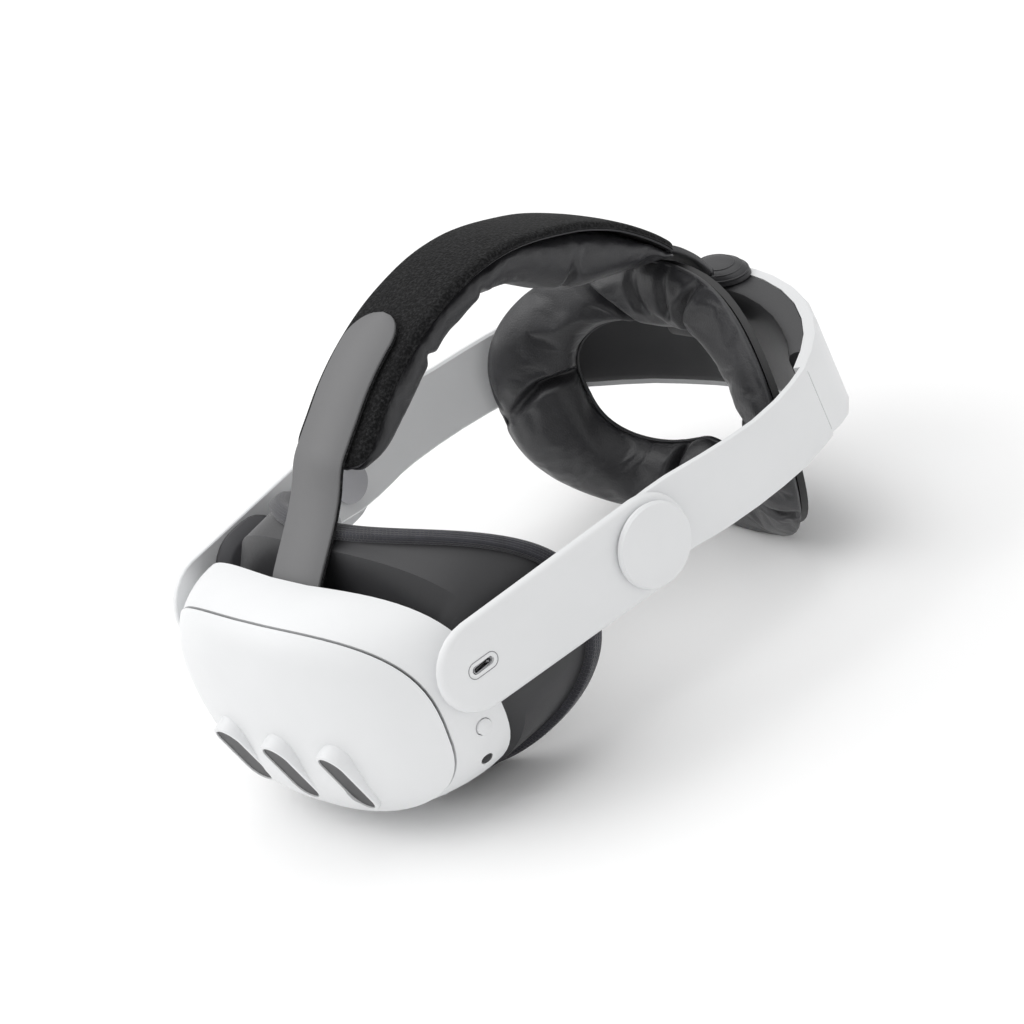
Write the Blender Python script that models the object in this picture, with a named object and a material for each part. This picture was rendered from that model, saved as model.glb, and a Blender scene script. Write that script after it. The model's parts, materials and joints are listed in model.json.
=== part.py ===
"""Standalone virtual-reality headset with an adjustable rear band, a ring-shaped back cushion and a top pad.

Built in the wearer's own frame, in millimetres: X to the wearer's left, Y backwards from the front cover, Z up.
One pose then stands the whole object on its cheek rim and its back cushion, in metres.
"""
import math

import bmesh
import bpy
from mathutils import Euler, Matrix, Vector

# Standing pose: pitch about X, and the point of the wearer's frame that becomes the origin.
PITCH = math.radians(4.782)
BASE_Y = 140.086
BASE_LIFT = 55.25
GAP = 0.3
SEGMENTS = 72

# Closed curves of the visor: half width, half height, squareness, setback at the centre, sideways wrap and
# its power, vertical wrap, tilt, centre height, shoulder drop.
SEAM = dict(a=70.2, b=39.9, n=2.9, y=6.8, k=17.5, p=2.2, kz=3.7, t=2.0, z=-5.6, d=4.5)
RIM = dict(a=74.1, b=42.1, n=3.14, y=34.3, k=12.5, p=1.6, kz=0.0, t=0.0, z=-6.4, d=2.4)
FACE = dict(a=72.4, b=53.6, n=2.5, y=69.4, k=32.6, p=2.2, kz=-11.0, t=1.5, z=-9.0, d=-0.9)
PORT_FRAME = dict(a=62.0, b=33.0, n=3.0, y=43.0, k=0.0, p=2.0, kz=0.0, t=0.0, z=-6.4, d=0.0)

COVER_CROWN = 1.0
COVER_WALL = 2.2
SHELL_WALL = 2.4
SEAM_GAP = 0.9
GASKET = 0.5

PILL_SPACING = 29.1
PILL_Z = -24.8
PILL_Y = (2.3, 0.2)
PILL_HALF_LENGTH = 14.6
PILL_RADIUS = 5.7
PILL_LEAN = math.radians(15.9)

# Keys and cameras on the shell: (y, z) of each, the shell's side face, and the rocker's middle.
CAMERA_AT = (36.6, -28.8)
CAMERA_RADIUS = 2.1
POWER_AT = (36.6, -16.2)
POWER_RADIUS = 3.0
SIDE_X = 73.9
ROCKER_X = 31.0

LENS_X = 32.0
LENS_Z = -5.0
LENS_TRAVEL = 3.25
BARREL_RADIUS = 18.8
BARREL_Y = (38.5, 55.0)

NOSE_WIDTH = 17.0
NOSE_RISE = 17.0
NOSE_DEPTH = 4.0

# Side arms: outer face at the port, outward splay, and the two rounded ends (y, z, radius).
ARM_X = 78.6
ARM_SPLAY = 0.118
ARM_FRONT = (44.1, 6.4, 17.4)
ARM_REAR = (123.0, 1.6, 18.4)
ARM_WALL = 3.6
DISC_RADIUS = 16.0
PIVOT_RADIUS = 5.0

# Rear band: outer face (x, y, middle height, half height).
BAND = (
    (82.5, 112.0, 2.3, 12.5), (83.9, 124.0, 2.2, 15.2), (85.0, 134.0, 1.6, 15.5), (86.3, 142.0, 1.1, 15.6),
    (88.2, 149.0, 0.5, 15.7),
    (89.6, 158.0, -0.6, 15.6), (90.3, 172.0, -2.6, 15.3), (89.8, 186.0, -4.6, 15.0), (88.2, 200.0, -6.2, 15.2),
    (85.6, 211.5, -7.2, 15.4), (82.3, 221.7, -8.1, 15.7),
)
BAND_WALL = 3.2

# Rear housing: outer face (x, y, top, bottom, depth) from the seam to the middle.
HOUSING = (
    (82.0, 222.2, 7.6, -23.9, 7.0), (77.0, 232.4, 7.8, -27.5, 9.0), (70.5, 242.2, 8.1, -31.0, 11.0),
    (62.0, 251.0, 8.4, -33.5, 12.5), (51.0, 259.3, 8.8, -36.0, 13.5), (38.0, 266.0, 9.0, -38.5, 14.0),
    (24.0, 270.8, 9.0, -40.5, 14.0), (12.0, 273.2, 9.0, -41.6, 14.0), (0.0, 274.0, 9.0, -42.0, 14.0),
)
HOUSING_RIM = 5.0
HOUSING_WALL = 2.2

DIAL_Z = -17.5
DIAL_RADIUS = 17.0
DIAL_Y = (274.5, 282.0)
PINION_RADIUS = 5.0

# Back cushion: outline of its plate, upper and lower halves, and the surface that it bends to.
RING_Z = -24.0
RING_HALF = (79.0, 58.0, 51.0)
RING_N = (2.6, 2.3)
RING_TAPER = 0.06
RING_BEND = (239.0, 0.08, 0.002, 0.0055)
RING_PLATE = 2.6
RING_WIDTH = (27.0, 31.4, 29.6)
RING_DEPTH = 14.5

# Top pad: outer face along the middle (y, z), depth of the cushion's underside at each of its points, the
# tab behind it, the dome over the tab's screw (half width, half depth, height, middle), and the front strap.
PAD_PATH = (
    (69.0, 63.4), (76.0, 68.6), (82.0, 72.7), (92.5, 79.6), (105.0, 85.8), (120.0, 91.0), (134.0, 93.8),
    (150.0, 95.0), (165.0, 93.5), (178.0, 89.9), (192.0, 84.0), (203.0, 78.4), (214.0, 71.0), (222.0, 64.0),
    (230.4, 54.9), (236.4, 47.0), (240.0, 41.6),
)
PAD_COVER = 3.4
PAD_DEEP = (4.0, 11.5, 14.5, 16.0, 15.5, 15.0, 15.5, 16.5, 17.0, 18.5, 21.0, 23.0, 23.0, 20.5, 15.5, 9.0, 4.0)
PAD_HALF = 19.0
ANCHOR_PATH = ((244.4, 38.6), (247.4, 34.6), (250.6, 29.8), (253.4, 24.6), (255.4, 19.6))
ANCHOR_HALF = 11.0
ANCHOR_CAP = (15.0, 8.6, 6.6, 265.4)
STRAP_PATH = (
    (35.8, 27.4), (36.6, 30.2), (38.4, 33.2), (43.5, 38.0), (49.6, 43.4), (56.0, 49.3), (62.0, 56.0), (68.0, 64.2),
    (74.6, 69.2), (82.0, 74.2), (92.2, 81.0), (104.8, 87.2), (119.8, 92.4),
)
STRAP_HALF = 13.4
STRAP_THICK = 1.8


def clear_scene():
    for item in list(bpy.data.objects):
        bpy.data.objects.remove(item, do_unlink=True)
    for group in list(bpy.data.collections):
        bpy.data.collections.remove(group)


def new_collection(name):
    group = bpy.data.collections.new(name)
    bpy.context.scene.collection.children.link(group)
    return group


def material(name, colour, roughness, metallic=0.0, alpha=1.0):
    mat = bpy.data.materials.new(name)
    mat.use_nodes = True
    shader = mat.node_tree.nodes["Principled BSDF"]
    shader.inputs["Base Color"].default_value = (*colour, 1.0)
    shader.inputs["Roughness"].default_value = roughness
    shader.inputs["Metallic"].default_value = metallic
    shader.inputs["Alpha"].default_value = alpha
    return mat


def standing(point):
    """A point of the wearer's frame in millimetres, moved to the standing pose in metres."""
    turned = Matrix.Rotation(PITCH, 3, "X") @ Vector(point)
    return Vector((turned.x, turned.y - BASE_Y, turned.z + BASE_LIFT)) / 1000.0


def add_piece(name, bm, mat, origin=(0.0, 0.0, 0.0), smooth=35.0):
    """Turn a bmesh in wearer millimetres into one object whose origin stands at the given point."""
    bmesh.ops.recalc_face_normals(bm, faces=bm.faces)
    if bm.calc_volume(signed=True) < 0:
        bmesh.ops.reverse_faces(bm, faces=bm.faces)
    shift = Vector(origin)
    for vert in bm.verts:
        vert.co = (vert.co - shift) / 1000.0
    mesh = bpy.data.meshes.new(name)
    bm.to_mesh(mesh)
    bm.free()
    mesh.shade_smooth()
    mesh.set_sharp_from_angle(angle=math.radians(smooth))
    mesh.materials.append(mat)
    item = bpy.data.objects.new(name, mesh)
    item.location = standing(origin)
    item.rotation_euler = Euler((PITCH, 0.0, 0.0))
    PARTS.objects.link(item)
    return item


def loft(rings, wrap=False, bm=None):
    """Skin a row of equal closed rings. The two ends are capped, or joined when wrap is set."""
    bm = bm or bmesh.new()
    rows = [[bm.verts.new(point) for point in ring] for ring in rings]
    count = len(rows[0])
    pairs = list(zip(rows, rows[1:])) + ([(rows[-1], rows[0])] if wrap else [])
    for lower, upper in pairs:
        for i in range(count):
            j = (i + 1) % count
            bm.faces.new((lower[i], lower[j], upper[j], upper[i]))
    if not wrap:
        bm.faces.new(rows[0])
        bm.faces.new(list(reversed(rows[-1])))
    return bm


def squircle(angle, a, b, n):
    c, s = math.cos(angle), math.sin(angle)
    return (a * math.copysign(abs(c) ** (2 / n), c), b * math.copysign(abs(s) ** (2 / n), s))


def visor_curve(spec, grow=0.0, back=0.0, count=SEGMENTS):
    """One closed curve of the visor, grown outwards in its plane and set back by the given amounts."""
    points = []
    for i in range(count):
        u, v = squircle(2 * math.pi * (i + 0.5) / count, 1.0, 1.0, spec["n"])
        y = spec["y"] + spec["k"] * abs(u) ** spec["p"] + spec["kz"] * v * v + spec["t"] * v
        z = spec["z"] + (spec["b"] + grow) * v - (spec["d"] * u * u if v > 0 else 0.0)
        points.append(Vector(((spec["a"] + grow) * u, y + back, z)))
    return points


def mix(ring_a, ring_b, t):
    return [p.lerp(q, t) for p, q in zip(ring_a, ring_b)]


def nose(point):
    """Lift and draw forward the lower middle of the face rim, to leave room for the nose."""
    if point.z > -20:
        return point
    swell = math.exp(-(point.x / NOSE_WIDTH) ** 2) * min(1.0, (-20 - point.z) / 20)
    return Vector((point.x, point.y - NOSE_DEPTH * swell, point.z + NOSE_RISE * swell))


def cylinder_rings(centre, axis, steps, count=48):
    """Rings about an axis. Each step is (distance along the axis, radius)."""
    axis = Vector(axis).normalized()
    side = axis.orthogonal().normalized()
    up = axis.cross(side)
    return [
        [Vector(centre) + axis * along
         + (side * math.cos(2 * math.pi * i / count) + up * math.sin(2 * math.pi * i / count)) * radius
         for i in range(count)]
        for along, radius in steps
    ]


def turned_solid(centre, axis, steps, count=48):
    return loft(cylinder_rings(centre, axis, steps, count))


def tube_solid(centre, axis, start, end, outer, inner, count=48):
    steps = ((start, outer), (end, outer), (end, inner), (start, inner))
    return loft(cylinder_rings(centre, axis, steps, count), wrap=True)


def box_solid(low, high, round_off=0.0):
    bm = bmesh.new()
    bmesh.ops.create_cube(bm, size=1.0)
    for vert in bm.verts:
        vert.co = Vector([(lo + hi) / 2 + co * (hi - lo) for lo, hi, co in zip(low, high, vert.co)])
    if round_off:
        bmesh.ops.bevel(bm, geom=bm.edges[:], offset=round_off, segments=2, affect="EDGES", profile=0.5)
    return bm


def capsule_ring(centre, along, across, half_length, radius, count=40):
    """A slot-shaped ring: along and across are unit directions, half_length includes the round end."""
    ring = []
    for i in range(count):
        angle = 2 * math.pi * (i + 0.5) / count
        reach = math.copysign(half_length - radius, math.cos(angle))
        ring.append(centre + along * (reach + radius * math.cos(angle)) + across * radius * math.sin(angle))
    return ring


def capsule_solid(centre, along, across, half_length, radius, start, end, soft=0.0):
    """A slot-shaped prism about centre, from start to end along the normal of its two directions."""
    normal = along.cross(across)
    steps = [(start, 0.0), (end - soft, 0.0)] + ([(end - 0.3 * soft, 0.35 * soft), (end, soft)] if soft else [])
    return loft([
        capsule_ring(centre + normal * step, along, across, half_length - cut, radius - cut)
        for step, cut in steps
    ])


def cut_object(name, bm):
    bmesh.ops.recalc_face_normals(bm, faces=bm.faces)
    if bm.calc_volume(signed=True) < 0:
        bmesh.ops.reverse_faces(bm, faces=bm.faces)
    for vert in bm.verts:
        vert.co /= 1000.0
    mesh = bpy.data.meshes.new(name)
    bm.to_mesh(mesh)
    bm.free()
    item = bpy.data.objects.new(name, mesh)
    item.location = standing((0, 0, 0))
    item.rotation_euler = Euler((PITCH, 0.0, 0.0))
    item.hide_render = True
    item.display_type = "WIRE"
    CUTTERS.objects.link(item)
    return item


def carve(item, cutters, operation="DIFFERENCE"):
    """Cut each solid out of the object, or join it on."""
    for i, bm in enumerate(cutters):
        tool = cut_object(f"{item.name}_tool_{i}", bm)
        mod = item.modifiers.new(f"{operation.lower()}_{i}", "BOOLEAN")
        mod.operation = operation
        mod.solver = "EXACT"
        mod.object = tool


def pill_frame(side):
    """Centre and directions of one tilted sensor window: along it, across it."""
    y = PILL_Y[0] if side else PILL_Y[1]
    along = Vector((0.0, math.sin(PILL_LEAN), -math.cos(PILL_LEAN)))
    return Vector((side * PILL_SPACING, y, PILL_Z)), along, Vector((1.0, 0.0, 0.0))


def build_front_cover():
    """Domed front cover with three raised slots, closed by its inner face."""
    centre_z = SEAM["z"]

    def dome(scale, back, grow=0.0):
        ring = []
        for point in visor_curve(SEAM, grow=grow, back=-GAP):
            gentle = 0.00235 * point.x ** 2 + 0.0012 * (point.z - centre_z) ** 2
            rest = point.y - COVER_CROWN - gentle
            y = COVER_CROWN + gentle * scale ** 2 + rest * scale ** 6 + back
            ring.append(Vector((point.x * scale, y, centre_z + (point.z - centre_z) * scale)))
        return ring

    outer = [dome(s, 0.0) for s in (0.12, 0.35, 0.55, 0.7, 0.8, 0.88, 0.95, 1.0)]
    lip = visor_curve(SEAM, grow=-2.6, back=-GAP)
    inner = [lip] + [dome(s, COVER_WALL, -3.0) for s in (0.92, 0.8, 0.6, 0.35, 0.12)]
    cover = add_piece("front_cover", loft(outer + inner), WHITE)
    bosses, pockets = [], []
    for side in (-1, 0, 1):
        centre, along, across = pill_frame(side)
        spot = centre + along.cross(across) * 0.2
        bosses.append(capsule_solid(spot, along, across, PILL_HALF_LENGTH + 1.7, PILL_RADIUS + 1.7, -6.2, 0.0,
                                    soft=0.8))
        pockets.append(capsule_solid(spot, along, across, PILL_HALF_LENGTH + GAP, PILL_RADIUS + GAP, -8.0, 8.0))
    carve(cover, bosses, "UNION")
    carve(cover, pockets)
    for side, word in ((-1, "right"), (0, "middle"), (1, "left")):
        centre, along, across = pill_frame(side)
        window = capsule_solid(centre, along, across, PILL_HALF_LENGTH, PILL_RADIUS, -4.0, -GAP)
        add_piece(f"sensor_window_{word}", window, SMOKED)


def build_gasket():
    rings = [visor_curve(SEAM, grow=g, back=b) for g, b in
             ((-1.0, 0.0), (-1.0, GASKET), (-4.0, GASKET), (-4.0, 0.0))]
    add_piece("cover_gasket", loft(rings, wrap=True), BLACK)


def build_main_shell():
    """White wrap-around shell between the cover seam and the rear rim."""
    outer = []
    for t in (0.0, 0.12, 0.3, 0.5, 0.7, 0.86, 1.0):
        bulge = 1.5 * math.sin(math.pi * min(1.0, t * 0.94)) ** 0.8 if t else 0.0
        ring = mix(visor_curve(SEAM, grow=bulge, back=SEAM_GAP), visor_curve(RIM, grow=bulge), t)
        outer.append(ring)
    lip = visor_curve(RIM, grow=-1.0, back=0.5)
    inner = []
    for t in (1.0, 0.7, 0.4, 0.1):
        inner.append(mix(visor_curve(SEAM, grow=-SHELL_WALL - 0.8, back=SEAM_GAP),
                         visor_curve(RIM, grow=-SHELL_WALL), t))
    inner.append(visor_curve(SEAM, grow=-4.0, back=SEAM_GAP))
    shell = add_piece("main_shell", loft(outer + [lip] + inner, wrap=True), WHITE)
    holes = []
    for side in (1, -1):
        holes.append(turned_solid((side * 62.0, *CAMERA_AT), (side, -0.25, -0.25),
                                  ((-2.0, CAMERA_RADIUS + 0.4), (20.0, CAMERA_RADIUS + 0.4)), 28))
    holes.append(box_solid((ROCKER_X - 9.5, 29.6, -60.0), (ROCKER_X + 9.5, 34.4, -42.0)))
    holes.append(turned_solid((60.0, *POWER_AT), (1, 0, 0),
                              ((0.0, POWER_RADIUS + GAP), (24.0, POWER_RADIUS + GAP)), 28))
    carve(shell, holes)


def build_rear_frame():
    """Dark frame that closes the shell behind and leaves the opening for the facial interface."""
    outer = visor_curve(RIM, grow=-SHELL_WALL - 1.0, back=-2.5)
    outer_in = visor_curve(RIM, grow=-SHELL_WALL - 1.6, back=-5.0)
    opening = visor_curve(PORT_FRAME)
    opening_in = visor_curve(PORT_FRAME, back=-2.5)
    mid = mix(outer, opening, 0.5)
    mid_in = mix(outer_in, opening_in, 0.5)
    frame = add_piece("rear_frame", loft([outer, mid, opening, opening_in, mid_in, outer_in], wrap=True), DARK)
    carve(frame, [box_solid((-STRAP_HALF - 1.0, 28.0, 22.5), (STRAP_HALF + 1.0, 44.0, 42.0))])


def build_facial_interface():
    """Telescoping skirt, flared wall and the soft rim that meets the face."""
    skirt = dict(PORT_FRAME, a=PORT_FRAME["a"] - 0.8, b=PORT_FRAME["b"] - 0.8)
    front = visor_curve(skirt, back=-9.0)
    edge = visor_curve(skirt, back=2.5)
    flange = [nose(p) for p in visor_curve(dict(FACE, y=50.0, k=11.0, kz=-3.0), grow=-3.0)]
    rim = [nose(p) for p in visor_curve(FACE, grow=-2.2, back=-7.0)]
    rim_in = [nose(p) for p in visor_curve(FACE, grow=-4.4, back=-7.0)]
    flange_in = [nose(p) for p in visor_curve(dict(FACE, y=52.0, k=11.0, kz=-3.0), grow=-5.2)]
    edge_in = visor_curve(skirt, grow=-2.0, back=4.5)
    front_in = visor_curve(skirt, grow=-2.0, back=-9.0)
    rings = [front, edge, flange, mix(flange, rim, 0.5), rim, rim_in, mix(flange_in, rim_in, 0.5), flange_in,
             edge_in, front_in]
    add_piece("facial_interface", loft(rings, wrap=True), DARK)
    profile = ((0.0, -6.7), (0.8, -4.0), (0.6, -1.2), (-1.2, 0.3), (-4.0, 0.6), (-7.5, -0.4), (-9.2, -3.0),
               (-8.6, -5.6), (-6.5, -6.7))
    rings = [[nose(p) for p in visor_curve(FACE, grow=g, back=b)] for g, b in profile]
    add_piece("face_cushion", loft(rings, wrap=True), KNIT)


def build_optics():
    for side, word in ((1, "left"), (-1, "right")):
        x = side * LENS_X
        barrel = tube_solid((x, 0, LENS_Z), (0, 1, 0), BARREL_Y[0], BARREL_Y[1], BARREL_RADIUS, 17.0)
        add_piece(f"lens_barrel_{word}", barrel, BLACK, (x, BARREL_Y[0], LENS_Z))
        lens = turned_solid((x, 0, LENS_Z), (0, 1, 0),
                            ((47.0, 16.0), (48.0, 16.7), (52.5, 16.7), (54.0, 14.5), (55.2, 9.0), (55.6, 3.0)))
        add_piece(f"lens_{word}", lens, GLASS, (x, 50.0, LENS_Z))
        panel = box_solid((x - 17.8, 35.6, LENS_Z - 17.0), (x + 17.8, 38.0, LENS_Z + 17.0), 0.5)
        add_piece(f"display_{word}", panel, BLACK, (x, 36.0, LENS_Z))
    plate = capsule_solid(Vector((0, 0, -6.4)), Vector((1, 0, 0)), Vector((0, 0, 1)), 56.5, 28.0, -45.5, -44.0)
    surround = add_piece("lens_surround", plate, BLACK)
    windows = []
    for side in (1, -1):
        centre = Vector((side * LENS_X, 0, LENS_Z))
        reach = BARREL_RADIUS + GAP + LENS_TRAVEL + 0.3
        windows.append(capsule_solid(centre, Vector((1, 0, 0)), Vector((0, 0, 1)), reach, BARREL_RADIUS + 0.5,
                                     -50.0, -40.0))
    carve(surround, windows)
    wheel = turned_solid((0, 0, -30.8), (0, 1, 0), ((46.2, 3.6), (46.6, 4.2), (50.0, 4.2), (50.4, 3.6)), 32)
    add_piece("ipd_wheel", wheel, DARK, (0, 48.0, -30.8))


def build_internals():
    chassis = capsule_solid(Vector((0, 0, -6.0)), Vector((1, 0, 0)), Vector((0, 0, 1)), 59.0, 29.0, -33.4, -32.0)
    chassis = add_piece("chassis", chassis, METAL)
    carve(chassis, [box_solid((-9.0, 30.0, -26.0), (9.0, 38.0, 12.0))])
    add_piece("mainboard", box_solid((-50, 29.8, -30), (50, 31.4, 18), 0.4), BOARD)
    add_piece("heat_sink", box_solid((-34, 26.2, -24), (4, 29.4, 12), 0.4), METAL)
    fan = turned_solid((26, 0, -6), (0, 1, 0), ((23.6, 16.0), (24.2, 17.0), (28.8, 17.0), (29.4, 16.0)), 40)
    add_piece("cooling_fan", fan, DARK, (26, 26.6, -6))
    add_piece("battery_pack", box_solid((-38, 14.5, -26), (38, 22.5, 16), 1.6), BATTERY)


def hull_ring(x, inset, front, rear, half=14):
    """Outline round two circles (y, z, radius), drawn at one x, with its edge moved inwards."""
    span = Vector((rear[0] - front[0], rear[1] - front[1]))
    heading = math.atan2(span.y, span.x)
    lean = math.asin((front[2] - rear[2]) / span.length)
    ring = []
    for i in range(half):
        angle = heading + math.pi / 2 - lean + (math.pi + 2 * lean) * i / (half - 1)
        ring.append((front[0] + (front[2] - inset) * math.cos(angle), front[1] + (front[2] - inset) * math.sin(angle)))
    for i in range(half):
        angle = heading - math.pi / 2 + lean + (math.pi - 2 * lean) * i / (half - 1)
        ring.append((rear[0] + (rear[2] - inset) * math.cos(angle), rear[1] + (rear[2] - inset) * math.sin(angle)))
    return [Vector((x, y, z)) for y, z in ring]


def arm_ring(side, depth, inset, front=ARM_FRONT, rear=ARM_REAR):
    """One outline of an arm, at a depth below its splayed outer face."""
    return [Vector((side * (ARM_X + ARM_SPLAY * (p.y - ARM_FRONT[0]) - depth), p.y, p.z))
            for p in hull_ring(0.0, inset, front, rear)]


def build_arm(side, word):
    steps = ((0.0, 2.6), (0.35, 1.3), (1.2, 0.4), (2.6, 0.0), (ARM_WALL - 0.4, 0.0), (ARM_WALL, 0.4))
    arm = loft([arm_ring(side, depth, inset) for depth, inset in steps])
    pivot = (side * 80.0, ARM_FRONT[0], ARM_FRONT[1])
    shell = add_piece(f"arm_shell_{word}", arm, WHITE, pivot)
    along = Vector((0, 1, -0.06)).normalized()
    across = Vector((0, 0.06, 1)).normalized()
    cuts = [turned_solid((side * 60.0, ARM_REAR[0], ARM_REAR[1]), (side, 0, 0), ((0.0, PIVOT_RADIUS + GAP),
            (40.0, PIVOT_RADIUS + GAP)), 36)]
    spot = Vector((0.0, ARM_FRONT[0], ARM_FRONT[1]))
    if side > 0:
        cuts.append(capsule_solid(spot, along, across, 4.75, 1.6, -90.0, 90.0))
    else:
        cuts.append(turned_solid((side * 60.0, spot.y, spot.z), (side, 0, 0), ((0.0, 2.3), (40.0, 2.3)), 28))
    carve(shell, cuts)

    front, rear = (65.2, 5.4, 16.0), (71.5, 5.0, 16.0)
    steps = ((ARM_WALL + 3.2, 3.0), (ARM_WALL + GAP, 2.2), (ARM_WALL + GAP, 0.0), (ARM_WALL + 1.4, 0.0),
             (ARM_WALL + 4.8, 3.0), (ARM_WALL + 5.4, 4.2))
    liner = loft([arm_ring(side, depth, inset, front, rear) for depth, inset in steps])
    liner = add_piece(f"arm_liner_{word}", liner, GREY, pivot)
    slot = capsule_solid(Vector((side * 71.8, 55.5, 19.5)), Vector((0, 1, -0.06)).normalized(),
                         Vector((0.6, 0, 0.8)), 4.6, 1.1, -9.0, 9.0)
    carve(liner, [slot])
    cone = loft([arm_ring(side, depth, 0.0, (64.0, 3.0, 6.0), (72.0, 2.6, 6.0))
                 for depth in (ARM_WALL + 0.6, ARM_WALL + 2.8)])
    add_piece(f"speaker_{word}", cone, BLACK, pivot)
    clip = loft([arm_ring(side, ARM_WALL + deep, inset, (99.4, 3.8, 11.0), (99.8, 3.8, 11.0))
                 for deep, inset in ((GAP, 0.0), (2.2, 0.0), (2.8, 0.9))])
    add_piece(f"arm_clip_{word}", clip, GREY, pivot)

    cap = ((0.0, 15.2), (0.9, DISC_RADIUS), (2.0, DISC_RADIUS), (3.0, 15.3), (3.7, 13.0), (4.1, 8.0))
    centre = (side * (ARM_X + ARM_SPLAY * (ARM_REAR[0] - ARM_FRONT[0]) + 0.6), ARM_REAR[0], ARM_REAR[1])
    axis = Vector((side, -ARM_SPLAY, 0.0))
    add_piece(f"pivot_cap_{word}", turned_solid(centre, axis, cap, 56), WHITE, centre)
    pin_x = side * (centre[0] * side - ARM_WALL - BAND_WALL - 4.0)
    pin = turned_solid((pin_x, ARM_REAR[0], ARM_REAR[1]), (side, 0, 0), ((0.0, 8.0), (1.4, 8.0), (1.4, PIVOT_RADIUS),
                       (9.8, PIVOT_RADIUS)), 40)
    add_piece(f"pivot_pin_{word}", pin, METAL, centre)


def build_port():
    along = Vector((0, 1, -0.06)).normalized()
    across = Vector((0, 0.06, 1)).normalized()
    spot = Vector((ARM_X, ARM_FRONT[0], ARM_FRONT[1]))
    normal = along.cross(across)
    sign = 1.0 if normal.x > 0 else -1.0
    rings = [capsule_ring(spot + normal * sign * d, along, across, h, r)
             for d, h, r in ((-0.5, 4.4, 1.3), (-3.3, 4.4, 1.3), (-3.3, 4.1, 1.0), (-0.5, 4.1, 1.0))]
    add_piece("usb_c_port", loft(rings, wrap=True), METAL, spot)
    jack = tube_solid((-ARM_X, ARM_FRONT[0], ARM_FRONT[1]), (-1, 0, 0), -3.3, -0.5, 2.0, 1.4, 28)
    add_piece("audio_jack", jack, BLACK, (-ARM_X, ARM_FRONT[0], ARM_FRONT[1]))


def build_controls():
    centre = (SIDE_X, *POWER_AT)
    button = turned_solid(centre, (1, -0.05, 0),
                          ((-5.0, POWER_RADIUS), (0.2, POWER_RADIUS), (0.5, POWER_RADIUS - 0.5)), 28)
    add_piece("power_button", button, WHITE, centre)
    rocker = box_solid((ROCKER_X - 9.0, 30.0, -50.6), (ROCKER_X + 9.0, 34.0, -47.2), 0.8)
    add_piece("volume_rocker", rocker, WHITE, (ROCKER_X, 32.0, -47.6))
    for side, word in ((1, "left"), (-1, "right")):
        lens = turned_solid((side * 62.0, *CAMERA_AT), (side, -0.25, -0.25),
                            ((2.0, CAMERA_RADIUS), (6.7, CAMERA_RADIUS), (7.0, CAMERA_RADIUS - 0.5)), 28)
        add_piece(f"side_camera_{word}", lens, SMOKED)


def curve_normals(points):
    """Unit outward normals of an open path of 2-D points, turned to the right of its heading."""
    normals = []
    for i, _ in enumerate(points):
        before, after = Vector(points[max(i - 1, 0)]), Vector(points[min(i + 1, len(points) - 1)])
        heading = (after - before).normalized()
        normals.append(Vector((heading.y, -heading.x)))
    return normals


def band_profile(out, side, section):
    """Closed ring of a band section: depth below the outer face and height, with softened corners."""
    (x, y, mid, half), normal = section
    return [Vector((side * (x + normal.x * d), y + normal.y * d, mid + h)) for d, h in out(half)]


def build_band(side, word):
    plan = [(x, y) for x, y, _, _ in BAND]
    normals = curve_normals(plan)

    def outline(half):
        return ((0.0, -half + 1.2), (0.0, half - 1.2), (-0.5, half - 0.3), (-1.4, half), (-BAND_WALL + 0.8, half),
                (-BAND_WALL, half - 0.9), (-BAND_WALL, -half + 0.9), (-BAND_WALL + 0.8, -half), (-1.4, -half),
                (-0.5, -half + 0.3))

    rings = [band_profile(outline, side, pair) for pair in zip(BAND, normals)]
    centre = (side * 84.0, ARM_REAR[0], ARM_REAR[1])
    band = add_piece(f"rear_band_{word}", loft(rings), WHITE, centre)
    carve(band, [turned_solid((side * 60.0, ARM_REAR[0], ARM_REAR[1]), (side, 0, 0),
                              ((0.0, PIVOT_RADIUS + GAP), (40.0, PIVOT_RADIUS + GAP)), 36)])


def housing_path():
    """Outer path of the rear housing from the left seam to the right seam, with its normals."""
    left = [Vector(row[:2]) for row in HOUSING]
    points = left + [Vector((-p.x, p.y)) for p in reversed(left[:-1])]
    rows = list(HOUSING) + list(reversed(HOUSING[:-1]))
    return points, curve_normals(points), rows


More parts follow.
